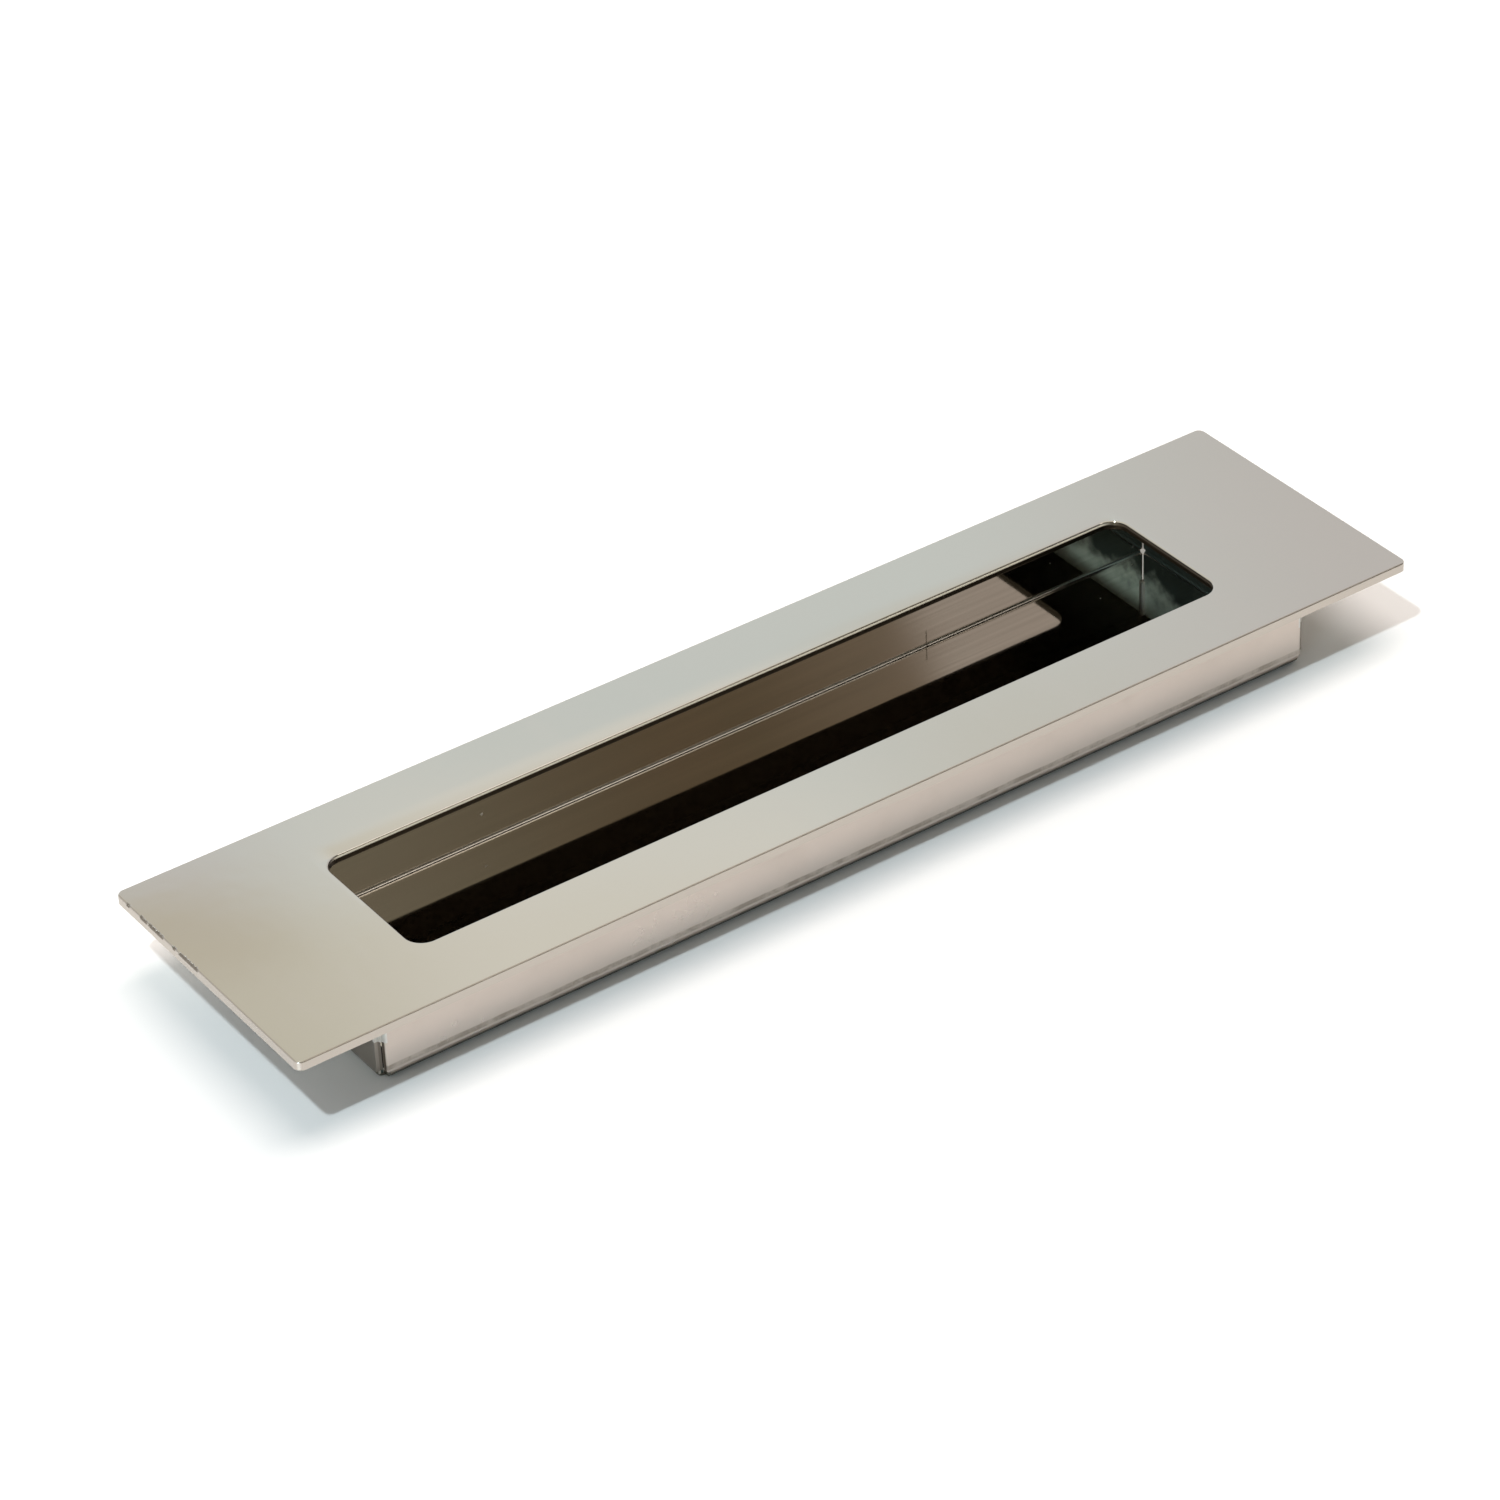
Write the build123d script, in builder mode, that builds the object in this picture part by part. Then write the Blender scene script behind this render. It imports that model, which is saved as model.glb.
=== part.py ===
from build123d import *
import os

# Driving sizes, all in mm
plate_length = 200.0
plate_width = 50.0
plate_thickness = 1.5
plate_corner_radius = 1.2
edge_break = 0.25
window_length = 146.0
window_width = 25.7
window_corner_radius = 3.0
overall_height = 14.5
sheet_thickness = 1.0
rim_end = 15.6
rim_side = 5.2
bend_inside_radius = 0.5
bend_relief = 0.1
seam_gap = 0.1
tack_height = 6.3
tack_bite = 0.4
tack_inset = 0.6
tack_corner_radius = 0.35
cut_margin = 1.0

# Sizes that follow from the ones above
tray_length = plate_length - 2 * rim_end
tray_width = plate_width - 2 * rim_side
tray_height = overall_height - plate_thickness
inside_length = tray_length - 2 * sheet_thickness
inside_width = tray_width - 2 * sheet_thickness
bend_outside_radius = bend_inside_radius + sheet_thickness
notch_size = sheet_thickness + seam_gap + cut_margin
notch_offset = notch_size / 2 - seam_gap
relief_size = bend_outside_radius + bend_relief
tack_size = sheet_thickness + seam_gap + tack_bite - tack_inset
tack_offset = sheet_thickness - tack_inset - tack_size / 2

os.makedirs("parts", exist_ok=True)

# Face plate: one flat sheet with a window, its edges eased by polishing
with BuildPart() as face_plate:
    with BuildSketch(Plane.XY.offset(tray_height)):
        RectangleRounded(plate_length, plate_width, plate_corner_radius)
        RectangleRounded(window_length, window_width, window_corner_radius, mode=Mode.SUBTRACT)
    extrude(amount=plate_thickness)
    shown_face = face_plate.faces().sort_by(Axis.Z)[-1]
    hidden_face = face_plate.faces().sort_by(Axis.Z)[0]
    fillet(shown_face.edges() + hidden_face.inner_wires().edges(), radius=edge_break)
face_plate.part.label = "face_plate"
export_step(face_plate.part, "parts/face_plate.step")

# Recess tray: one sheet folded up on four sides, wider and longer than the window above it
with BuildPart() as recess_tray:
    with BuildSketch():
        Rectangle(tray_length, tray_width)
    extrude(amount=tray_height)
    underside = recess_tray.faces().sort_by(Axis.Z)[0]
    fillet(underside.edges(), radius=bend_outside_radius)
    # The hollow, with the inside of the four bends
    with BuildSketch(Plane.XY.offset(sheet_thickness)):
        Rectangle(inside_length, inside_width)
    extrude(amount=tray_height, mode=Mode.SUBTRACT)
    floor_face = recess_tray.faces().filter_by(Axis.Z).sort_by_distance((0, 0, sheet_thickness))[0]
    fillet(floor_face.edges(), radius=bend_inside_radius)
    # Open seam up each corner: the long wall stops short of the end wall
    with BuildSketch(Plane.XY.offset(-cut_margin)):
        with GridLocations(inside_length + 2 * notch_offset, inside_width + 2 * notch_offset, 2, 2):
            Rectangle(notch_size, notch_size)
    extrude(amount=tray_height + 2 * cut_margin, mode=Mode.SUBTRACT)
    # Relief at each corner of the floor, so that the two bends don't meet
    with BuildSketch(Plane.XY.offset(-cut_margin)):
        with GridLocations(tray_length - relief_size, tray_width - relief_size, 2, 2):
            Rectangle(relief_size, relief_size)
    extrude(amount=bend_outside_radius + cut_margin, mode=Mode.SUBTRACT)
    # The free ends of the long walls are eased where they show
    uprights = recess_tray.edges().filter_by(Axis.Z)
    wall_ends = uprights.filter_by(lambda edge: abs(edge.center().Y) > inside_width / 2 + seam_gap)
    fillet(wall_ends, radius=edge_break)
    # Tack that closes the top of each seam
    with BuildSketch(Plane.XY.offset(tray_height - tack_height)):
        with GridLocations(inside_length + 2 * tack_offset, inside_width + 2 * tack_offset, 2, 2):
            RectangleRounded(tack_size, tack_size, tack_corner_radius)
    extrude(amount=tack_height)
recess_tray.part.label = "recess_tray"
export_step(recess_tray.part, "parts/recess_tray.step")
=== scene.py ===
"""Flush pull in polished nickel: finishes for the face plate and the folded tray, and its white table."""

import math

import bpy
from bpy.props import FloatProperty, FloatVectorProperty, PointerProperty
from mathutils import Matrix, Vector


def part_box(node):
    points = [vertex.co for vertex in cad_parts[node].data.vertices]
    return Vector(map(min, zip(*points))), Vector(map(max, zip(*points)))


bl_info = {
    "name": "Flush Pull",
    "version": (1, 0, 0),
    "blender": (4, 5, 0),
    "location": "View3D > Sidebar > Flush Pull",
    "description": "Finishes a nickel flush pull and sets it on a white table",
    "category": "Object",
}

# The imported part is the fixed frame, and its boxes give most of the sizes
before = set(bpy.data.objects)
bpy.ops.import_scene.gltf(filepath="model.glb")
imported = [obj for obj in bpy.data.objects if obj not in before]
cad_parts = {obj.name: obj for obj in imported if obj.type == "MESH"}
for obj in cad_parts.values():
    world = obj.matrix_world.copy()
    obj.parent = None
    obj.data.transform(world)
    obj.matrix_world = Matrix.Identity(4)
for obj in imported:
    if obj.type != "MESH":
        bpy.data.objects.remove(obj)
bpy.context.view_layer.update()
plate_low, plate_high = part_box("face_plate")
tray_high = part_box("recess_tray")[1]

PLATE = "face_plate"
TRAY = "recess_tray"
MM = 0.001

# Sizes of the part that its boxes don't give
WINDOW_X = 146.0 * MM / 2
WINDOW_Y = 25.7 * MM / 2
EASED_EDGE = 0.25 * MM
HALF_SHEET = 0.5 * MM
SOLDER_DOWN = 6.35 * MM
# How near to a face a point counts as lying on it
CLOSE = 0.05 * MM

# Chips in the plate's left end: runs along Y in mm, their ragged borders and how far in they reach
CHIP_RUNS = ((21.1, 21.5), (16.2, 17.6), (11.8, 15.2), (8.2, 8.6), (2.1, 6.8))
CHIP_FADE = 0.4 * MM
CHIP_GRAIN = 2200.0
CHIP_RAGGED = 1.6 * MM
CHIP_RAGGED_INWARDS = 0.5
CHIP_END = (0.4 * MM, 0.1 * MM)

# Marks on the plate: how far in from a face or an edge each one starts, and where it is full
CHIP_TOP = (0.5 * MM, 0.3 * MM)
RIM_IN = (0.3 * MM, 0.1 * MM)
CUT_TOP = (0.1 * MM, EASED_EDGE)
HIGHLIGHT_BAND_TOP = (0.65 * MM, 0.45 * MM)
HIGHLIGHT_BAND_END = (1.0 * MM, 3.0 * MM)
ROUNDED_TOP = (0.65 * MM, 0.15 * MM)
ROLLED_END = (-1.0 * MM, 3.0 * MM)
ROLL_WIDTH = 4.0 * MM
ROLL_POWER = 2.0
BACK_DEPTH = 0.1 * MM

# Scale of the plate's wipe marks, and how strongly each mark shows in colour, roughness and height
PLATE_CLOUD = 26.0
PLATE_HAZE_SHARE = 0.35
CHIP_SHARE = 0.8
PLATE_DUST_CHANCE = 0.06
PLATE_DUST_SHARE = 0.35
HAZE_ROUGH = 0.05
DULL_ROUGH = 0.4
EDGE_ROUGH = 0.25
HIGHLIGHT_BAND_ROUGH = 0.35
WAVE_HEIGHT = 0.05
CHIP_HEIGHT = -0.3
ROLL_HEIGHT = -0.09
PLATE_BUMP = 0.4 * MM

# Marks on the tray: how far in from its outside each one starts, and where it is full
BEND_IN = (2.4 * MM, 1.4 * MM)
END_IN = (1.5 * MM, 1.1 * MM)
FOLD_IN = (1.8 * MM, 1.4 * MM)
END_FACE_IN = 0.9 * MM
BACK_WALL_IN = 1.2 * MM
CORNER_IN = 1.25 * MM
SOLDER_IN = 1.55 * MM
SEAM_IN = (0.93 * MM, 0.3 * MM)

# Marks on the tray: where along an axis each one starts and is full, or a span and its fade
BEND_Z = (1.2 * MM, 0.95 * MM)
FOLD_Z = (1.8 * MM, 1.4 * MM)
SCUFF_Z = (2.0 * MM, 2.55 * MM, 0.25 * MM)
SCRATCH_X = (40.15 * MM, 40.25 * MM, 0.12 * MM)
SCRATCH_Z = (4.2 * MM, 3.0 * MM)
OUTSIDE_TOP_Z = (4.0 * MM, 12.5 * MM)
END_WALL_LIGHT_Z = (4.0 * MM, 10.0 * MM)

# Noise in the tray's marks: its scale per metre, how far it shifts a mark and which of its values show
WANDER_GRAIN = 300.0
WANDER_REACH = 0.3 * MM
BLOTCH_GRAIN = 260.0
BLOTCH_RANGE = (0.36, 0.62)
BLOTCH_LEAST = 0.4
PATCH_GRAIN = 210.0
PATCH_REACH = 16.0 * MM

# Drawn lines: how far their noise is pulled out along them, and which of its values show
LENGTHWAYS_PULL = 0.012
UPRIGHT_PULL = 0.03
LINE_TONE_RANGE = (0.35, 0.65)
LINE_ROUGH_RANGE = (0.3, 0.7)

# Scale of the tray's wipe marks, and how strongly each mark shows in colour, roughness and height
TRAY_CLOUD = 40.0
INNER_HAZE_SHARE = 0.5
OUTER_HAZE_SHARE = 0.25
OUTSIDE_TOP_SHARE = 0.35
LINE_SHARE = 0.25
SCUFF_SHARE = 0.6
SCRATCH_SHARE = 0.6
TRAY_DUST_CHANCE = 0.15
INNER_ROUGH_RANGE = (0.6, 1.6)
OUTER_ROUGH_RANGE = (0.9, 1.3)
CORNER_ROUGH = 0.3
SOLDER_ROUGH = 0.3
END_ROUGH = 0.53
FOLD_ROUGH = 0.20
DUST_ROUGH = 0.5
LINE_BUMP = 0.001 * MM

# Colours of marks and worn places on the metal, and of painted light and shade on it
PLATE_HAZE = (0.69, 0.64, 0.60, 1.0)
CUT_EDGE_SHADE = (0.50, 0.45, 0.40, 1.0)
WINDOW_CUT_SHADE = (0.07, 0.055, 0.04, 1.0)
WINDOW_CUT_HIGHLIGHT = (1.0, 0.93, 0.80, 1.0)
BACK_SHADE_OVER_TRAY = (0.026, 0.019, 0.013, 1.0)
PLATE_DUST = (0.45, 0.42, 0.37, 1.0)
TRAY_HAZE = (0.60, 0.60, 0.54, 1.0)
OUTSIDE_HAZE = (0.53, 0.45, 0.39, 1.0)
OUTSIDE_TOP_TONE = (0.36, 0.315, 0.275, 1.0)
DRAWN_LINE = (0.46, 0.43, 0.38, 1.0)
END_WALL_SHADE = (0.09, 0.12, 0.115, 1.0)
END_WALL_LIGHT = (0.88, 1.0, 0.96, 1.0)
CORNER_SHADE = (0.36, 0.32, 0.285, 1.0)
END_OUTSIDE_SHADE = (0.36, 0.325, 0.29, 1.0)
SCUFFED_METAL = (0.27, 0.23, 0.19, 1.0)
BEND_SHADE = (0.20, 0.19, 0.155, 1.0)
SOLDER = (0.72, 0.70, 0.67, 1.0)
TRAY_DUST = (0.80, 0.77, 0.72, 1.0)

# Colours of what the metal mirrors
SWEEP_FAR_LEFT = (0.745, 0.755, 0.765, 1.0)
SWEEP_HIGH = (0.75, 0.73, 0.63, 1.0)
CROSSBAR = (0.66, 0.615, 0.50, 1.0)
GLOW = (0.95, 0.94, 0.88, 1.0)
SWEEP_WARM_RIGHT = (0.76, 0.74, 0.67, 1.0)
SWEEP_FAR_RIGHT = (0.715, 0.70, 0.70, 1.0)
ROOM_LEFT = (0.29, 0.265, 0.21, 1.0)
ROOM_WARM = (0.29, 0.235, 0.185, 1.0)
PALE_WALL = (0.63, 0.577, 0.56, 1.0)
ROOM_DARK = (0.09, 0.08, 0.07, 1.0)
PALE_PANEL = (2.2, 2.05, 1.9, 1.0)

# Colours of what lights the table
RIGHT_LIGHT = (1.5, 1.33, 1.08, 1.0)
LEFT_LIGHT = (1.05, 1.08, 1.05, 1.0)
FRONT_LIGHT = (0.14, 0.135, 0.13, 1.0)
BACK_LIGHT_BLUE = 0.98
WHITE = (1.0, 1.0, 1.0, 1.0)

# Where the surroundings change, as a coordinate of the direction:
# start and end of a change, or a span and its fade
FAR_LEFT_X = (0.385, 0.355)
WARM_HIGH_Z = (0.588, 0.602)
CROSSBAR_Z = (0.593, 0.599, 0.006)
GLOW_X = (0.41, 0.45, 0.05)
GLOW_Z = (0.568, 0.59)
GLOW_SHARE = 0.7
WARM_RIGHT_X = (0.46, 0.50)
WARM_RIGHT_Z = (0.555, 0.575)
WARM_RIGHT_SHARE = 0.6
FAR_RIGHT_X = (0.49, 0.57)
ROOM_LEFT_X = (0.45, 0.38)
ROOM_WARM_X = (0.455, 0.487)
PALE_WALL_X = (0.486, 0.494)
LEVEL_Z = (0.54, 0.61, 0.02)
ROOM_DARK_X = (0.45, 0.48)
PANEL_X = (0.34, 0.43, 0.05)
PANEL_Z = (0.65, 0.80, 0.05)
ROOM_Y = (-0.1, -0.45)
OVERHEAD_X = (0.48, 0.45)
OVERHEAD_Z = (0.78, 0.95)
RIGHT_LIGHT_X = (0.35, 0.75)
LEFT_LIGHT_X = (-0.35, -0.75)
FRONT_LIGHT_Y = (0.10, -0.15)

# Table, lamps and camera: lengths in metres, but the sensor in millimetres
TABLE_HALF = 1.0
TABLE_ROUGHNESS = 0.7
TABLE_SHINE = 0.2
LAMP_DISTANCE = 2.5
SENSOR_WIDTH = 36.0
CLIP_START = 0.01
CLIP_END = 20.0


class FlushPullFinish(bpy.types.PropertyGroup):
    """Colours and textures of the two nickel pieces"""

    plate_colour: FloatVectorProperty(
        name="Plate nickel",
        description="Colour of the polished face plate",
        subtype="COLOR",
        size=4,
        min=0.0,
        max=1.0,
        default=(0.66, 0.63, 0.58, 1.0),
    )
    tray_colour: FloatVectorProperty(
        name="Tray nickel",
        description="Colour of the folded tray",
        subtype="COLOR",
        size=4,
        min=0.0,
        max=1.0,
        default=(0.66, 0.62, 0.56, 1.0),
    )
    # The chip colour also paints shade into the cut edges inside the corner seams
    chip_and_seam_shade_colour: FloatVectorProperty(
        name="Nicks",
        description="Dark metal of the chips, the raw cut edges and the scratch",
        subtype="COLOR",
        size=4,
        min=0.0,
        max=1.0,
        default=(0.19, 0.155, 0.125, 1.0),
    )
    outside_colour: FloatVectorProperty(
        name="Outside of the tray",
        description="Colour of the tray's hazy outside",
        subtype="COLOR",
        size=4,
        min=0.0,
        max=1.0,
        default=(0.655, 0.57, 0.51, 1.0),
    )
    back_colour: FloatVectorProperty(
        name="Back of the plate",
        description="Colour of the plate's back, which is left unpolished",
        subtype="COLOR",
        size=4,
        min=0.0,
        max=1.0,
        default=(0.33, 0.315, 0.285, 1.0),
    )
    polish: FloatProperty(
        name="Polish",
        description="Roughness of the polished faces",
        subtype="FACTOR",
        min=0.0,
        max=1.0,
        default=0.035,
    )
    back_roughness: FloatProperty(
        name="Back of the tray",
        description="Roughness of the tray's outside, which the door hides",
        subtype="FACTOR",
        min=0.0,
        max=1.0,
        default=0.30,
    )
    line_spacing: FloatProperty(
        name="Drawn lines",
        description="Spacing of the fine lines that rolling leaves on the sheet",
        unit="LENGTH",
        min=0.00005,
        default=0.0006,
    )


class FlushPullStage(bpy.types.PropertyGroup):
    """The table, the light and the camera"""

    table_colour: FloatVectorProperty(
        name="Table",
        description="Colour of the white table",
        subtype="COLOR",
        size=4,
        min=0.0,
        max=1.0,
        default=(0.90, 0.90, 0.90, 1.0),
    )
    sweep_colour: FloatVectorProperty(
        name="White sweep",
        description="Colour of the paper sweep behind the pull, which the plate mirrors",
        subtype="COLOR",
        size=4,
        min=0.0,
        max=1.0,
        default=(0.79, 0.85, 0.85, 1.0),
    )
    room_colour: FloatVectorProperty(
        name="Dim room",
        description="Colour of the room on the camera's side, which the recess mirrors",
        subtype="COLOR",
        size=4,
        min=0.0,
        max=1.0,
        default=(0.200, 0.155, 0.106, 1.0),
    )
    ambient: FloatProperty(
        name="Ambient light",
        description="Brightness of the light that the white sweep gives",
        subtype="FACTOR",
        min=0.0,
        max=1.0,
        default=0.70,
    )
    key_power: FloatProperty(
        name="Key light",
        description="Power of the cool lamp at the front left",
        unit="POWER",
        min=0.0,
        default=27.0,
    )
    top_power: FloatProperty(
        name="Top light",
        description="Power of the warm softbox overhead",
        unit="POWER",
        min=0.0,
        default=31.0,
    )
    window_power: FloatProperty(
        name="Window light",
        description="Power of the greenish daylight that comes in low from the left",
        unit="POWER",
        min=0.0,
        default=18.0,
    )
    lens: FloatProperty(
        name="Lens",
        description="Focal length of the camera",
        unit="CAMERA",
        min=1.0,
        default=127.3,
    )
    azimuth: FloatProperty(
        name="Camera azimuth",
        description="Turn of the view about the vertical",
        subtype="ANGLE",
        default=math.radians(33.95),
    )
    elevation: FloatProperty(
        name="Camera elevation",
        description="How far the camera looks down",
        subtype="ANGLE",
        default=math.radians(35.12),
    )
    roll: FloatProperty(
        name="Camera roll",
        description="Turn of the picture about the line of sight",
        subtype="ANGLE",
        default=math.radians(2.66),
    )
    distance: FloatProperty(
        name="Camera distance",
        description="From the camera to the middle of the plate, along the line of sight",
        unit="LENGTH",
        default=0.7863,
    )
    aside: FloatProperty(
        name="Pull to the right",
        description="How far the middle of the plate lies right of the picture's centre",
        unit="LENGTH",
        default=0.00513,
    )
    above: FloatProperty(
        name="Pull above",
        description="How far the middle of the plate lies above the picture's centre",
        unit="LENGTH",
        default=0.00430,
    )


# Node helpers


def add_node(tree, kind, **settings):
    """Adds a node and sets its properties by name, and its inputs by socket name under inputs."""
    node = tree.nodes.new(kind)
    for key, value in settings.pop("inputs", {}).items():
        node.inputs[key].default_value = value
    for key, value in settings.items():
        setattr(node, key, value)
    return node


def feed(tree, socket, value):
    """Links a socket to an input, or sets the input to a constant."""
    if isinstance(value, bpy.types.NodeSocket):
        tree.links.new(value, socket)
    else:
        socket.default_value = value


def maths(tree, operation, first, second=0.0, clamp=False):
    """A Math node whose inputs are sockets or numbers; returns its output."""
    node = add_node(tree, "ShaderNodeMath", operation=operation, use_clamp=clamp)
    feed(tree, node.inputs[0], first)
    feed(tree, node.inputs[1], second)
    return node.outputs[0]


def chain(tree, operation, first, *others):
    """Math nodes in a row, each of which takes one more value in."""
    result = first
    for other in others:
        result = maths(tree, operation, result, other)
    return result


def product(tree, *factors):
    """All the factors multiplied."""
    return chain(tree, "MULTIPLY", *factors)


def total(tree, *terms):
    """All the terms added."""
    return chain(tree, "ADD", *terms)


def largest(tree, *values):
    """The largest of the values."""
    return chain(tree, "MAXIMUM", *values)


def inverse(tree, mask):
    """1 where a mask is 0, and 0 where it is 1."""
    return maths(tree, "SUBTRACT", 1.0, mask)


def add_share(tree, base, mask, amount):
    """A value plus an amount where a mask is 1."""
    return total(tree, base, product(tree, mask, amount))


def is_above(tree, value, limit):
    """1 where a value is greater than a limit."""
    return maths(tree, "GREATER_THAN", value, limit)


def is_below(tree, value, limit):
    """1 where a value is less than a limit."""
    return maths(tree, "LESS_THAN", value, limit)


def ramp(tree, value, start, stop, out_start=0.0, out_stop=1.0, smooth=True):
    """A Map Range node from start..stop to out_start..out_stop; start may be the greater."""
    node = add_node(tree, "ShaderNodeMapRange", clamp=True)
    node.interpolation_type = "SMOOTHSTEP" if smooth else "LINEAR"
    tree.links.new(value, node.inputs["Value"])
    node.inputs["From Min"].default_value = start
    node.inputs["From Max"].default_value = stop
    node.inputs["To Min"].default_value = out_start
    node.inputs["To Max"].default_value = out_stop
    return node.outputs["Result"]


def in_from(tree, value, face, start, stop, smooth=True):
    """0 where a value lies start in from a face, and 1 where it lies stop in from it."""
    return ramp(tree, value, face - start, face - stop, smooth=smooth)


def span(tree, value, low, high, fade):
    """1 where a value lies between low and high, fading out on each side."""
    rise = ramp(tree, value, low - fade, low)
    fall = ramp(tree, value, high + fade, high)
    return product(tree, rise, fall)


def mix_colour(tree, factor, first, second):
    """A colour Mix node whose inputs are sockets, numbers or colours; returns its output."""
    node = add_node(tree, "ShaderNodeMix", data_type="RGBA")
    sockets = {socket.identifier: socket for socket in node.inputs}
    feed(tree, sockets["Factor_Float"], factor)
    feed(tree, sockets["A_Color"], first)
    feed(tree, sockets["B_Color"], second)
    return next(socket for socket in node.outputs if socket.identifier == "Result_Color")


def noise(tree, vector, scale, detail=3.0, roughness=0.5):
    """A Noise Texture in 3D, whose scale is a socket or a number; returns its value output."""
    node = add_node(tree, "ShaderNodeTexNoise", inputs={"Detail": detail, "Roughness": roughness})
    tree.links.new(vector, node.inputs["Vector"])
    feed(tree, node.inputs["Scale"], scale)
    return node.outputs["Fac"]


def wobble(tree, vector, scale, reach, detail=3.0):
    """Noise about zero, as wide as reach."""
    middle = 0.5
    centred = maths(tree, "SUBTRACT", noise(tree, vector, scale, detail=detail), middle)
    return product(tree, centred, reach)


def split_axes(tree, vector):
    """The X, Y and Z of a vector socket."""
    node = tree.nodes.new("ShaderNodeSeparateXYZ")
    tree.links.new(vector, node.inputs["Vector"])
    return node.outputs["X"], node.outputs["Y"], node.outputs["Z"]


def new_group(name, inputs, outputs):
    """A shader node group with named float or vector sockets; returns the tree and its two end nodes."""
    tree = bpy.data.node_groups.new(name, "ShaderNodeTree")
    for socket, kind, default in inputs:
        made = tree.interface.new_socket(socket, in_out="INPUT", socket_type=kind)
        if default is not None:
            made.default_value = default
    for socket in outputs:
        tree.interface.new_socket(socket, in_out="OUTPUT", socket_type="NodeSocketFloat")
    start = tree.nodes.new("NodeGroupInput")
    end = tree.nodes.new("NodeGroupOutput")
    return tree, start, end


def use_group(tree, name, build, **values):
    """Places a node group in a material with its own values, and builds it the first time."""
    node = tree.nodes.new("ShaderNodeGroup")
    node.node_tree = bpy.data.node_groups.get(name) or build(name)
    for key, value in values.items():
        feed(tree, node.inputs[key.replace("_", " ").capitalize()], value)
    return node


# Shared effects


def wipe_marks(name):
    """Haze that fingers and a cloth leave on polished metal: a broad cloud and finer smears."""
    tree, start, end = new_group(
        name,
        [
            ("Coordinates", "NodeSocketVector", None),
            ("Cloud scale", "NodeSocketFloat", 30.0),
            ("Smear scale", "NodeSocketFloat", 160.0),
        ],
        ["Haze", "Waviness"],
    )
    place = start.outputs["Coordinates"]
    wipe_angle = 0.6
    wipe_stretch = (1.0, 0.22, 1.0)
    cloud_range = (0.35, 0.75)
    cloud_share = 0.6
    smear_range = (0.48, 0.72)
    smear_share = 0.4
    cloud = noise(tree, place, start.outputs["Cloud scale"], detail=4.0, roughness=0.55)
    turned = add_node(tree, "ShaderNodeMapping")
    turned.inputs["Rotation"].default_value = (0.0, 0.0, wipe_angle)
    turned.inputs["Scale"].default_value = wipe_stretch
    tree.links.new(place, turned.inputs["Vector"])
    smear = noise(tree, turned.outputs["Vector"], start.outputs["Smear scale"], detail=6.0, roughness=0.6)
    broad = product(tree, ramp(tree, cloud, *cloud_range), cloud_share)
    fine = product(tree, ramp(tree, smear, *smear_range), smear_share)
    haze = maths(tree, "ADD", broad, fine, clamp=True)
    tree.links.new(haze, end.inputs["Haze"])
    tree.links.new(cloud, end.inputs["Waviness"])
    return tree


def drawn_lines(name):
    """Fine parallel lines left by rolling and polishing, along one axis of the stretched coordinates."""
    tree, start, end = new_group(
        name,
        [
            ("Coordinates", "NodeSocketVector", None),
            ("Stretch", "NodeSocketVector", (1.0, 1.0, 1.0)),
        ],
        ["Lines"],
    )
    pulled = add_node(tree, "ShaderNodeVectorMath", operation="MULTIPLY")
    tree.links.new(start.outputs["Coordinates"], pulled.inputs[0])
    tree.links.new(start.outputs["Stretch"], pulled.inputs[1])
    lines = noise(tree, pulled.outputs[0], 1.0, detail=5.0, roughness=0.65)
    tree.links.new(lines, end.inputs["Lines"])
    return tree


def dust_specks(name):
    """A few pale specks of dust, one in some of the cells of a coarse grid of cells."""
    tree, start, end = new_group(
        name,
        [
            ("Coordinates", "NodeSocketVector", None),
            ("Cells per metre", "NodeSocketFloat", 260.0),
            ("Share", "NodeSocketFloat", 0.2),
        ],
        ["Specks"],
    )
    smallest = 0.03
    widest = 0.07
    cells = add_node(tree, "ShaderNodeTexVoronoi")
    tree.links.new(start.outputs["Coordinates"], cells.inputs["Vector"])
    tree.links.new(start.outputs["Cells per metre"], cells.inputs["Scale"])
    chance = add_node(tree, "ShaderNodeSeparateColor")
    tree.links.new(cells.outputs["Color"], chance.inputs["Color"])
    chosen = is_below(tree, chance.outputs["Red"], start.outputs["Share"])
    reach = ramp(tree, chance.outputs["Green"], 0.0, 1.0, smallest, widest, smooth=False)
    near = is_below(tree, cells.outputs["Distance"], reach)
    tree.links.new(product(tree, near, chosen), end.inputs["Specks"])
    return tree


# Finishes


class Metal:
    """A metal in the making: its material, node tree and shader, and the coordinates of a point on it."""

    def __init__(self, name):
        self.material = bpy.data.materials.new(name)
        self.material.use_nodes = True
        self.tree = self.material.node_tree
        self.shader = self.tree.nodes["Principled BSDF"]
        self.shader.inputs["Metallic"].default_value = 1.0
        self.place = self.tree.nodes.new("ShaderNodeTexCoord").outputs["Object"]
        self.x, self.y, self.z = split_axes(self.tree, self.place)
        self.across = maths(self.tree, "ABSOLUTE", self.y)
        self.endwards = maths(self.tree, "ABSOLUTE", self.x)

    def finish(self, colour, rough, height, bump_distance):
        """Feeds colour, roughness and height into the shader; returns the material."""
        bump = self.tree.nodes.new("ShaderNodeBump")
        bump.inputs["Strength"].default_value = 1.0
        bump.inputs["Distance"].default_value = bump_distance
        self.tree.links.new(height, bump.inputs["Height"])
        self.tree.links.new(bump.outputs["Normal"], self.shader.inputs["Normal"])
        self.tree.links.new(colour, self.shader.inputs["Base Color"])
        self.tree.links.new(rough, self.shader.inputs["Roughness"])
        return self.material


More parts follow.
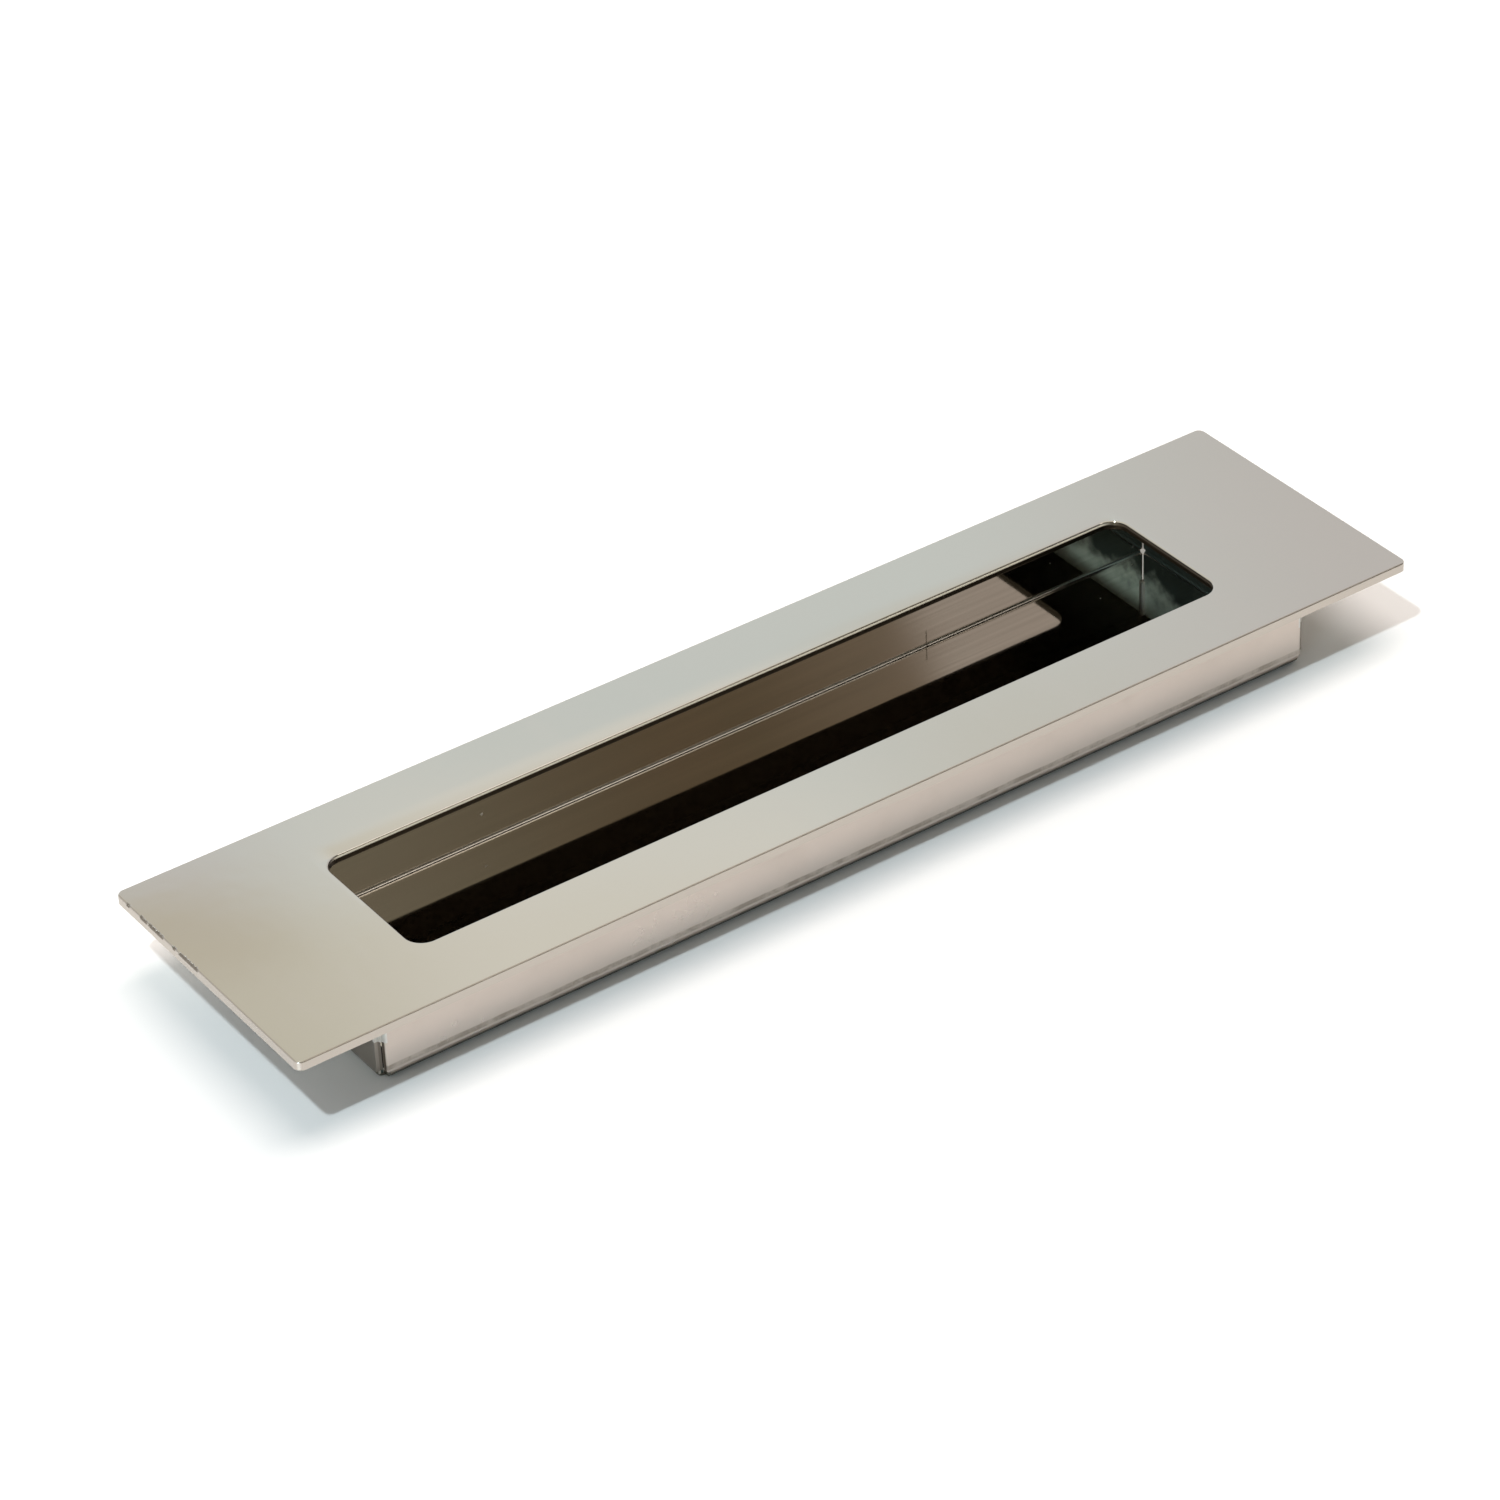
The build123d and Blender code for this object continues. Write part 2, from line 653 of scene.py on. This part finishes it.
def plate_chips(metal):
    """Mask of the chips in the upper edge of the left end: runs along Y with ragged borders."""
    tree = metal.tree
    ragged = wobble(tree, metal.place, CHIP_GRAIN, CHIP_RAGGED, detail=4.0)
    along = total(tree, metal.y, ragged)
    inwards = add_share(tree, metal.x, ragged, CHIP_RAGGED_INWARDS)
    chip_start, chip_full = CHIP_END
    left_end = ramp(tree, inwards, plate_low.x + chip_start, plate_low.x + chip_full)
    upper_edge = in_from(tree, metal.z, plate_high.z, *CHIP_TOP)
    runs = [span(tree, along, low * MM, high * MM, CHIP_FADE) for low, high in CHIP_RUNS]
    return product(tree, largest(tree, *runs), left_end, upper_edge)


def plate_back(metal):
    """Masks of the unpolished back, and of the part over the tray, which is painted black as shade."""
    tree = metal.tree
    low_face = is_below(tree, metal.z, plate_low.z + BACK_DEPTH)
    off_rim = is_below(tree, metal.across, plate_high.y - CLOSE)
    off_end = is_below(tree, metal.endwards, plate_high.x - CLOSE)
    back = product(tree, low_face, off_rim, off_end)
    over_side = is_below(tree, metal.across, tray_high.y - HALF_SHEET)
    over_end = is_below(tree, metal.endwards, tray_high.x - HALF_SHEET)
    return back, product(tree, back, over_side, over_end)


def plate_rim(metal):
    """Mask of the cut edges all round, which are duller than the face, and browner with painted shade that
    stands in for the darker things they mirror.
    """
    sides = in_from(metal.tree, metal.across, plate_high.y, *RIM_IN)
    ends = in_from(metal.tree, metal.endwards, plate_high.x, *RIM_IN)
    return largest(metal.tree, sides, ends)


def rolled_face(metal):
    """How far polishing has rolled the face down along the back of the window."""
    tree = metal.tree
    beside = in_from(tree, metal.endwards, WINDOW_X, *ROLLED_END)
    away = ramp(tree, metal.y, WINDOW_Y, WINDOW_Y + ROLL_WIDTH, smooth=False)
    fall = maths(tree, "POWER", inverse(tree, away), ROLL_POWER)
    behind = is_above(tree, metal.y, 0.0)
    return product(tree, fall, beside, behind)


def window_cut(metal):
    """Masks of the window's cut face, which carries painted shade, and of a band on its long sides, which
    carries a painted highlight; and how the band is rounded.
    """
    tree = metal.tree
    in_window_x = is_below(tree, metal.endwards, WINDOW_X + CLOSE)
    in_window_y = is_below(tree, metal.across, WINDOW_Y + CLOSE)
    under_top = in_from(tree, metal.z, plate_high.z, *CUT_TOP)
    cut_face = product(tree, in_window_x, in_window_y, under_top)
    upper_band = in_from(tree, metal.z, plate_high.z, *HIGHLIGHT_BAND_TOP)
    highlight_band = product(tree, upper_band, in_from(tree, metal.endwards, WINDOW_X, *HIGHLIGHT_BAND_END))
    rounding = in_from(tree, metal.z, plate_high.z, *ROUNDED_TOP, smooth=False)
    return cut_face, highlight_band, product(tree, rounding, cut_face)


def plate_nickel(finish):
    """Polished nickel of the face plate, with wipe marks, a chipped left end and a dull back, and painted
    shade and highlights on its edges, its window's cut face and its back over the tray.
    """
    metal = Metal("plate_nickel")
    tree = metal.tree
    marks = use_group(tree, "wipe_marks", wipe_marks, coordinates=metal.place, cloud_scale=PLATE_CLOUD)
    dust = use_group(tree, "dust_specks", dust_specks, coordinates=metal.place, share=PLATE_DUST_CHANCE)
    chips = plate_chips(metal)
    back, shade_over_tray = plate_back(metal)
    rim = plate_rim(metal)
    cut_face, highlight_band, rounding = window_cut(metal)
    haze = product(tree, marks.outputs["Haze"], PLATE_HAZE_SHARE)
    colour = mix_colour(tree, haze, finish.plate_colour, PLATE_HAZE)
    # Painted shade: the cut edges all round are darkened and browned
    colour = mix_colour(tree, rim, colour, CUT_EDGE_SHADE)
    # Painted shade on the window's cut face, with a painted highlight on its rounded upper band along the
    # long sides
    cut_light_and_shade = mix_colour(tree, highlight_band, WINDOW_CUT_SHADE, WINDOW_CUT_HIGHLIGHT)
    colour = mix_colour(tree, cut_face, colour, cut_light_and_shade)
    colour = mix_colour(tree, back, colour, finish.back_colour)
    # Painted shade: the back over the tray, which the recess mirrors, is painted nearly black
    colour = mix_colour(tree, shade_over_tray, colour, BACK_SHADE_OVER_TRAY)
    colour = mix_colour(tree, product(tree, chips, CHIP_SHARE), colour, finish.chip_and_seam_shade_colour)
    specks = product(tree, dust.outputs["Specks"], PLATE_DUST_SHARE)
    colour = mix_colour(tree, specks, colour, PLATE_DUST)
    hazy_rough = finish.polish + HAZE_ROUGH
    rough = ramp(tree, marks.outputs["Haze"], 0.0, 1.0, finish.polish, hazy_rough, smooth=False)
    rough = add_share(tree, rough, largest(tree, chips, back), DULL_ROUGH)
    rough = add_share(tree, rough, largest(tree, rim, cut_face), EDGE_ROUGH)
    rough = add_share(tree, rough, product(tree, cut_face, highlight_band), HIGHLIGHT_BAND_ROUGH)
    height = product(tree, marks.outputs["Waviness"], WAVE_HEIGHT)
    height = add_share(tree, height, chips, CHIP_HEIGHT)
    height = add_share(tree, height, rolled_face(metal), ROLL_HEIGHT)
    height = maths(tree, "SUBTRACT", height, rounding)
    return metal.finish(colour, rough, height, PLATE_BUMP)


def tray_corner(metal, reach):
    """Mask of the tray's four corners, as far in from its outside as reach."""
    by_side = is_above(metal.tree, metal.across, tray_high.y - reach)
    by_end = is_above(metal.tree, metal.endwards, tray_high.x - reach)
    return product(metal.tree, by_side, by_end)


def tray_seams(metal):
    """Masks of the corner seams, of the solder at the top of them and of the raw cut edges below it, which
    carry painted shade.
    """
    tree = metal.tree
    in_corner = tray_corner(metal, CORNER_IN)
    raised = is_above(tree, metal.z, tray_high.z - SOLDER_DOWN)
    solder = product(tree, tray_corner(metal, SOLDER_IN), raised)
    seam_start, seam_stop = SEAM_IN
    in_seam = span(tree, metal.across, tray_high.y - seam_start, tray_high.y - seam_stop, CLOSE)
    low_corner = maths(tree, "SUBTRACT", in_corner, raised, clamp=True)
    return in_corner, solder, product(tree, low_corner, in_seam)


def bend_marks(metal, outside, long_wall):
    """Masks of the scuffed line that bending left on the long walls, and of painted shade on the bends'
    outside, where they mirror the shadowed table.
    """
    tree = metal.tree
    level = total(tree, metal.z, wobble(tree, metal.place, WANDER_GRAIN, WANDER_REACH))
    line = span(tree, level, *SCUFF_Z)
    grain = noise(tree, metal.place, BLOTCH_GRAIN, detail=5.0, roughness=0.7)
    blotches = ramp(tree, grain, *BLOTCH_RANGE, BLOTCH_LEAST, 1.0)
    scuff = product(tree, line, blotches, long_wall)
    by_side = in_from(tree, metal.across, tray_high.y, *BEND_IN)
    by_end = in_from(tree, metal.endwards, tray_high.x, *BEND_IN)
    low_down = ramp(tree, level, *BEND_Z)
    return scuff, product(tree, largest(tree, by_side, by_end), outside, low_down)


def wall_scratch(metal, inside):
    """Mask of a short upright scratch at the foot of the back wall."""
    tree = metal.tree
    line = span(tree, metal.x, *SCRATCH_X)
    foot = ramp(tree, metal.z, *SCRATCH_Z)
    on_back_wall = is_above(tree, metal.y, tray_high.y - BACK_WALL_IN)
    return product(tree, line, foot, on_back_wall, inside)


def inner_fold(metal, inside):
    """Mask of the inside of the long bends, which bending leaves duller."""
    tree = metal.tree
    low_down = ramp(tree, metal.z, *FOLD_Z)
    far_across = in_from(tree, metal.across, tray_high.y, *FOLD_IN)
    return product(tree, low_down, far_across, inside)


def end_wall_light_and_shade(metal):
    """Patchy colour of the end walls' inside: painted shade low down and painted light towards the window.
    """
    tree = metal.tree
    patches = wobble(tree, metal.place, PATCH_GRAIN, PATCH_REACH, detail=4.0)
    lit = ramp(tree, total(tree, metal.z, patches), *END_WALL_LIGHT_Z)
    return mix_colour(tree, lit, END_WALL_SHADE, END_WALL_LIGHT)


def tray_nickel(finish):
    """Nickel of the tray: polished inside with fine drawn lines, hazy outside, with painted shade on the
    raw cut edges in its corner seams, on its bends and on its end walls' outside, and painted light and
    shade on its end walls' inside.
    """
    metal = Metal("tray_nickel")
    tree = metal.tree
    pitch = 1.0 / finish.line_spacing
    along_x = (pitch * LENGTHWAYS_PULL, pitch, pitch)
    along_z = (pitch, pitch, pitch * UPRIGHT_PULL)
    marks = use_group(tree, "wipe_marks", wipe_marks, coordinates=metal.place, cloud_scale=TRAY_CLOUD)
    dust = use_group(tree, "dust_specks", dust_specks, coordinates=metal.place, share=TRAY_DUST_CHANCE)
    lengthways = use_group(tree, "drawn_lines", drawn_lines, coordinates=metal.place, stretch=along_x)
    upright = use_group(tree, "drawn_lines", drawn_lines, coordinates=metal.place, stretch=along_z)
    # The outside is where a point lies past the middle of the sheet's thickness
    long_wall = is_above(tree, metal.across, tray_high.y - HALF_SHEET)
    end_wall = is_above(tree, metal.endwards, tray_high.x - HALF_SHEET)
    underside = is_below(tree, metal.z, HALF_SHEET)
    outside = largest(tree, long_wall, end_wall, underside)
    inside = inverse(tree, outside)
    in_corner, solder, seam_shade = tray_seams(metal)
    scuff, bend_shade = bend_marks(metal, outside, long_wall)
    scratch = wall_scratch(metal, inside)
    specks = product(tree, dust.outputs["Specks"], inside)
    near_end = in_from(tree, metal.endwards, tray_high.x, *END_IN)
    past_end_face = is_above(tree, metal.endwards, tray_high.x - END_FACE_IN)
    end_inside = maths(tree, "SUBTRACT", near_end, past_end_face)
    # Colour of the inside
    inner_haze = product(tree, marks.outputs["Haze"], INNER_HAZE_SHARE)
    inner = mix_colour(tree, inner_haze, finish.tray_colour, TRAY_HAZE)
    lined = ramp(tree, lengthways.outputs["Lines"], *LINE_TONE_RANGE, 0.0, LINE_SHARE)
    inner = mix_colour(tree, lined, inner, DRAWN_LINE)
    # Painted light and shade on the end walls' inside
    inner = mix_colour(tree, end_inside, inner, end_wall_light_and_shade(metal))
    # Painted shade darkens the tray's inside corners
    inner = mix_colour(tree, in_corner, inner, CORNER_SHADE)
    # Colour of the outside, darker towards the plate
    outer_haze = product(tree, marks.outputs["Haze"], OUTER_HAZE_SHARE)
    skin = mix_colour(tree, outer_haze, finish.outside_colour, OUTSIDE_HAZE)
    top_tone = ramp(tree, metal.z, *OUTSIDE_TOP_Z, 0.0, OUTSIDE_TOP_SHARE)
    skin = mix_colour(tree, top_tone, skin, OUTSIDE_TOP_TONE)
    colour = mix_colour(tree, outside, inner, skin)
    # Painted shade on the end walls' outside, under the plate's overhang
    colour = mix_colour(tree, end_wall, colour, END_OUTSIDE_SHADE)
    colour = mix_colour(tree, product(tree, scuff, SCUFF_SHARE), colour, SCUFFED_METAL)
    # Painted shade on the outside of the lower bends
    colour = mix_colour(tree, bend_shade, colour, BEND_SHADE)
    colour = mix_colour(tree, solder, colour, SOLDER)
    # Painted shade in the corner seams below the solder
    colour = mix_colour(tree, seam_shade, colour, finish.chip_and_seam_shade_colour)
    colour = mix_colour(tree, product(tree, scratch, SCRATCH_SHARE), colour, finish.chip_and_seam_shade_colour)
    colour = mix_colour(tree, specks, colour, TRAY_DUST)
    # Roughness, with the end walls dull inside, where the polishing wheel can't reach
    inner_range = [finish.polish * part for part in INNER_ROUGH_RANGE]
    outer_range = [finish.back_roughness * part for part in OUTER_ROUGH_RANGE]
    inner_rough = ramp(tree, lengthways.outputs["Lines"], *LINE_ROUGH_RANGE, *inner_range, smooth=False)
    outer_rough = ramp(tree, marks.outputs["Haze"], 0.0, 1.0, *outer_range, smooth=False)
    rough = total(tree, product(tree, outer_rough, outside), product(tree, inner_rough, inside))
    rough = add_share(tree, rough, largest(tree, in_corner, scuff), CORNER_ROUGH)
    rough = add_share(tree, rough, largest(tree, solder, scratch), SOLDER_ROUGH)
    rough = add_share(tree, rough, product(tree, near_end, inside), END_ROUGH)
    rough = add_share(tree, rough, inner_fold(metal, inside), FOLD_ROUGH)
    rough = add_share(tree, rough, specks, DUST_ROUGH)
    inner_height = product(tree, lengthways.outputs["Lines"], inside)
    outer_height = product(tree, upright.outputs["Lines"], outside)
    return metal.finish(colour, rough, total(tree, inner_height, outer_height), LINE_BUMP)


def dress(node_name, material):
    """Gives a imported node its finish."""
    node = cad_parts[node_name]
    if not node.material_slots:
        node.data.materials.append(material)
    for slot in node.material_slots:
        slot.material = material


# Stage


def white_table(stage):
    """A large pale table top under the pull."""
    signs = ((-1, -1), (1, -1), (1, 1), (-1, 1))
    corners = [(across * TABLE_HALF, along * TABLE_HALF, 0.0) for across, along in signs]
    mesh = bpy.data.meshes.new("white_table")
    mesh.from_pydata(corners, [], [(0, 1, 2, 3)])
    table = bpy.data.objects.new("white_table", mesh)
    bpy.context.scene.collection.objects.link(table)
    material = bpy.data.materials.new("white_table")
    material.use_nodes = True
    shader = material.node_tree.nodes["Principled BSDF"]
    shader.inputs["Base Color"].default_value = stage.table_colour
    shader.inputs["Roughness"].default_value = TABLE_ROUGHNESS
    shader.inputs["Specular IOR Level"].default_value = TABLE_SHINE
    mesh.materials.append(material)


def sweep_tones(tree, stage, x, z):
    """Colour of the sweep: greyer far left with a crossbar, warmer high up, a glow, dimmer on the right."""
    far_left = ramp(tree, x, *FAR_LEFT_X)
    sweep = mix_colour(tree, far_left, stage.sweep_colour, SWEEP_FAR_LEFT)
    sweep = mix_colour(tree, ramp(tree, z, *WARM_HIGH_Z), sweep, SWEEP_HIGH)
    crossbar = product(tree, span(tree, z, *CROSSBAR_Z), far_left)
    sweep = mix_colour(tree, crossbar, sweep, CROSSBAR)
    glow = product(tree, span(tree, x, *GLOW_X), ramp(tree, z, *GLOW_Z, 0.0, GLOW_SHARE))
    sweep = mix_colour(tree, glow, sweep, GLOW)
    warm_high = ramp(tree, z, *WARM_RIGHT_Z, 0.0, WARM_RIGHT_SHARE)
    warm_right = product(tree, ramp(tree, x, *WARM_RIGHT_X), warm_high)
    sweep = mix_colour(tree, warm_right, sweep, SWEEP_WARM_RIGHT)
    return mix_colour(tree, ramp(tree, x, *FAR_RIGHT_X), sweep, SWEEP_FAR_RIGHT)


def room_tones(tree, stage, x, z):
    """Colour of the room: brown, greyer on the left, with a pale wall on the right."""
    room = mix_colour(tree, ramp(tree, x, *ROOM_LEFT_X), stage.room_colour, ROOM_LEFT)
    room = mix_colour(tree, ramp(tree, x, *ROOM_WARM_X), room, ROOM_WARM)
    room = mix_colour(tree, ramp(tree, x, *PALE_WALL_X), room, PALE_WALL)
    # On the right the room is dark above and below, and the fold of the tray mirrors that
    off_level = inverse(tree, span(tree, z, *LEVEL_Z))
    dark = product(tree, off_level, ramp(tree, x, *ROOM_DARK_X))
    room = mix_colour(tree, dark, room, ROOM_DARK)
    # On the left a pale panel high up lights the fold
    panel = product(tree, span(tree, z, *PANEL_Z), span(tree, x, *PANEL_X))
    return mix_colour(tree, panel, room, PALE_PANEL)


def table_light(tree, stage, x, y):
    """What lights the table: the sweep behind and to the sides, very little from the room."""
    behind = (stage.ambient, stage.ambient, stage.ambient * BACK_LIGHT_BLUE, 1.0)
    light = mix_colour(tree, ramp(tree, x, *RIGHT_LIGHT_X), behind, RIGHT_LIGHT)
    light = mix_colour(tree, ramp(tree, x, *LEFT_LIGHT_X), light, LEFT_LIGHT)
    return mix_colour(tree, ramp(tree, y, *FRONT_LIGHT_Y), light, FRONT_LIGHT)


def soft_room(stage):
    """White sweep behind the pull, a dim warm room on the camera's side; white where the camera sees it."""
    world = bpy.data.worlds.new("soft_room")
    bpy.context.scene.world = world
    world.use_nodes = True
    tree = world.node_tree
    background = tree.nodes["Background"]
    place = tree.nodes.new("ShaderNodeTexCoord")
    x, y, z = split_axes(tree, place.outputs["Generated"])
    sweep = sweep_tones(tree, stage, x, z)
    room = room_tones(tree, stage, x, z)
    overhead = product(tree, ramp(tree, z, *OVERHEAD_Z), ramp(tree, x, *OVERHEAD_X))
    in_room = product(tree, ramp(tree, y, *ROOM_Y), inverse(tree, overhead))
    surroundings = mix_colour(tree, in_room, sweep, room)
    path = tree.nodes.new("ShaderNodeLightPath")
    light = table_light(tree, stage, x, y)
    mirrored = mix_colour(tree, path.outputs["Is Glossy Ray"], light, surroundings)
    shown = mix_colour(tree, path.outputs["Is Camera Ray"], mirrored, WHITE)
    tree.links.new(shown, background.inputs["Color"])
    background.inputs["Strength"].default_value = 1.0


def soft_lamp(name, towards, size, power, colour, mirrored):
    """A rectangular lamp that shines on the pull from a direction, and that the metal mirrors or not."""
    towards = Vector(towards).normalized()
    data = bpy.data.lights.new(name, "AREA")
    data.shape = "RECTANGLE"
    data.size = size[0]
    data.size_y = size[1]
    data.energy = power
    data.color = colour
    lamp = bpy.data.objects.new(name, data)
    bpy.context.scene.collection.objects.link(lamp)
    lamp.visible_glossy = mirrored
    lamp.location = towards * LAMP_DISTANCE
    lamp.rotation_euler = towards.to_track_quat("Z", "Y").to_euler()


def studio_lamps(stage):
    """A small cool lamp at the front left, a warm softbox overhead and a window low on the left."""
    soft_lamp(
        "key_lamp",
        towards=(-0.425, -0.260, 0.867),
        size=(0.09, 0.09),
        power=stage.key_power,
        colour=(0.86, 1.0, 1.06),
        mirrored=True,
    )
    soft_lamp(
        "top_lamp",
        towards=(0.20, 0.0, 0.98),
        size=(1.2, 2.1),
        power=stage.top_power,
        colour=(1.13, 1.0, 0.93),
        mirrored=False,
    )
    soft_lamp(
        "window_lamp",
        towards=(-0.85, -0.48, 0.125),
        size=(0.8, 0.8),
        power=stage.window_power,
        colour=(0.78, 1.0, 1.08),
        mirrored=True,
    )


def photo_camera(stage):
    """A long lens that looks down on the pull from the front left."""
    turn = stage.azimuth
    down = stage.elevation
    roll = stage.roll
    level_forward = Vector((math.sin(turn), math.cos(turn), 0.0))
    forward = level_forward * math.cos(down) - Vector((0.0, 0.0, math.sin(down)))
    level_right = Vector((math.cos(turn), -math.sin(turn), 0.0))
    level_up = level_right.cross(forward)
    right = math.cos(roll) * level_right - math.sin(roll) * level_up
    up = math.sin(roll) * level_right + math.cos(roll) * level_up
    data = bpy.data.cameras.new("photo_camera")
    data.sensor_width = SENSOR_WIDTH
    data.lens = stage.lens
    data.clip_start = CLIP_START
    data.clip_end = CLIP_END
    camera = bpy.data.objects.new("photo_camera", data)
    bpy.context.scene.collection.objects.link(camera)
    middle = (plate_low + plate_high) / 2
    middle.z = plate_high.z
    location = middle - forward * stage.distance - right * stage.aside - up * stage.above
    turned = Matrix((right, up, -forward)).transposed().to_4x4()
    camera.matrix_world = Matrix.Translation(location) @ turned
    bpy.context.scene.camera = camera


class FLUSHPULL_OT_face_plate(bpy.types.Operator):
    """Finish the face plate in polished nickel"""

    bl_idname = "flushpull.face_plate"
    bl_label = "Finish Face Plate"
    bl_options = {"REGISTER", "UNDO"}

    def execute(self, context):
        dress(PLATE, plate_nickel(context.scene.flush_pull_finish))
        return {"FINISHED"}


class FLUSHPULL_OT_recess_tray(bpy.types.Operator):
    """Finish the folded tray, polished inside and duller outside"""

    bl_idname = "flushpull.recess_tray"
    bl_label = "Finish Recess Tray"
    bl_options = {"REGISTER", "UNDO"}

    def execute(self, context):
        dress(TRAY, tray_nickel(context.scene.flush_pull_finish))
        return {"FINISHED"}


class FLUSHPULL_OT_stage(bpy.types.Operator):
    """Lay the white table, light the pull and set the camera"""

    bl_idname = "flushpull.stage"
    bl_label = "Set the Stage"
    bl_options = {"REGISTER", "UNDO"}

    def execute(self, context):
        stage = context.scene.flush_pull_stage
        white_table(stage)
        soft_room(stage)
        studio_lamps(stage)
        photo_camera(stage)
        context.scene.view_settings.view_transform = "Standard"
        return {"FINISHED"}


class FLUSHPULL_PT_panel(bpy.types.Panel):
    """Steps and settings of the flush pull"""

    bl_label = "Flush Pull"
    bl_idname = "FLUSHPULL_PT_panel"
    bl_space_type = "VIEW_3D"
    bl_region_type = "UI"
    bl_category = "Flush Pull"

    def draw(self, context):
        layout = self.layout
        for step in STEPS:
            layout.operator(step.bl_idname)
        for group in (context.scene.flush_pull_finish, context.scene.flush_pull_stage):
            box = layout.box()
            for name in group.__annotations__:
                box.prop(group, name)


STEPS = (FLUSHPULL_OT_face_plate, FLUSHPULL_OT_recess_tray, FLUSHPULL_OT_stage)
CLASSES = (FlushPullFinish, FlushPullStage, *STEPS, FLUSHPULL_PT_panel)


def register():
    for item in CLASSES:
        bpy.utils.register_class(item)
    bpy.types.Scene.flush_pull_finish = PointerProperty(type=FlushPullFinish)
    bpy.types.Scene.flush_pull_stage = PointerProperty(type=FlushPullStage)


def unregister():
    del bpy.types.Scene.flush_pull_stage
    del bpy.types.Scene.flush_pull_finish
    for item in reversed(CLASSES):
        bpy.utils.unregister_class(item)


def main():
    register()
    bpy.ops.flushpull.face_plate()
    bpy.ops.flushpull.recess_tray()
    bpy.ops.flushpull.stage()


if __name__ == "__main__":
    main()
